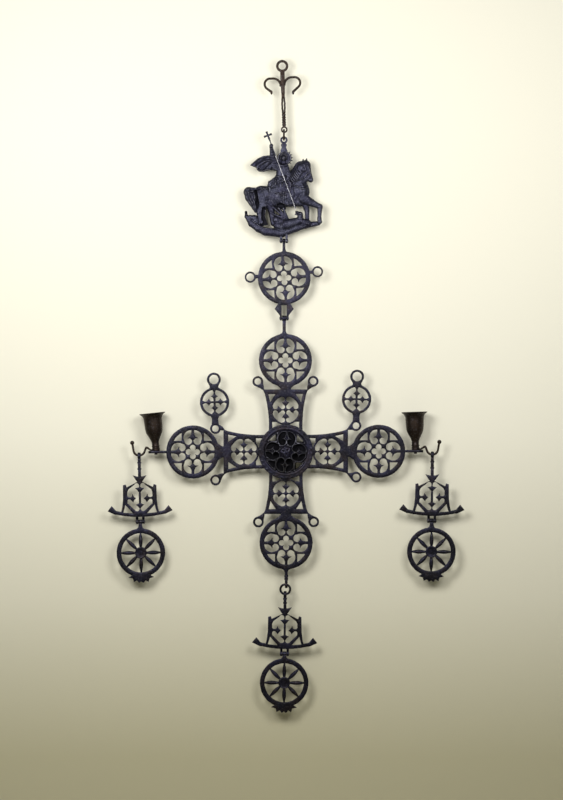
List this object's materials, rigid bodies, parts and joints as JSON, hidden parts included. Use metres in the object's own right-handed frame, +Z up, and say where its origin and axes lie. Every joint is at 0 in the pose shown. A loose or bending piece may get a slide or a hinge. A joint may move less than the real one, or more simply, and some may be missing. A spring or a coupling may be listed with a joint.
{
  "type": "hanging iron wall cross",
  "caption": "Hanging wall cross of pierced iron castings with a rider plaque above, candle cups on the side arms and bell-shaped pendants with wheels below.",
  "frame": {"origin": "centre of the hanging eye's bore at the top, where a nail or hook carries the whole cross", "axes": "+Z up along the hanging chain, +X to the viewer's right, +Y through the hanging eye towards the wall"},
  "size_m": [0.5353, 0.0388, 0.9795],
  "materials": {
    "dark_casting": "dark patinated casting with a bluish purple cast and lighter rubbed edges",
    "brown_forging": "brown-grey forged iron, rubbed and slightly rusty",
    "lance_steel": "lighter rubbed rod"
  },
  "bodies": {
    "root": {"top_hanger": "brown_forging", "top_link": "brown_forging", "horseman_plaque": "dark_casting", "lance": "lance_steel", "plaque_pin": "dark_casting", "upper_disc": "dark_casting", "fork_pin": "dark_casting", "main_cross": "dark_casting", "centre_boss": "dark_casting", "candle_hook_left": "brown_forging", "candle_hook_right": "brown_forging", "candle_cup_left": "brown_forging", "candle_cup_right": "brown_forging", "lower_ring": "dark_casting", "pendant_left": "dark_casting", "pendant_right": "dark_casting", "pendant_lower": "dark_casting", "wheel_pin_left": "dark_casting", "wheel_pin_right": "dark_casting", "wheel_pin_lower": "dark_casting", "wheel_left": "dark_casting", "wheel_right": "dark_casting", "wheel_lower": "dark_casting"}
  },
  "joints": []
}
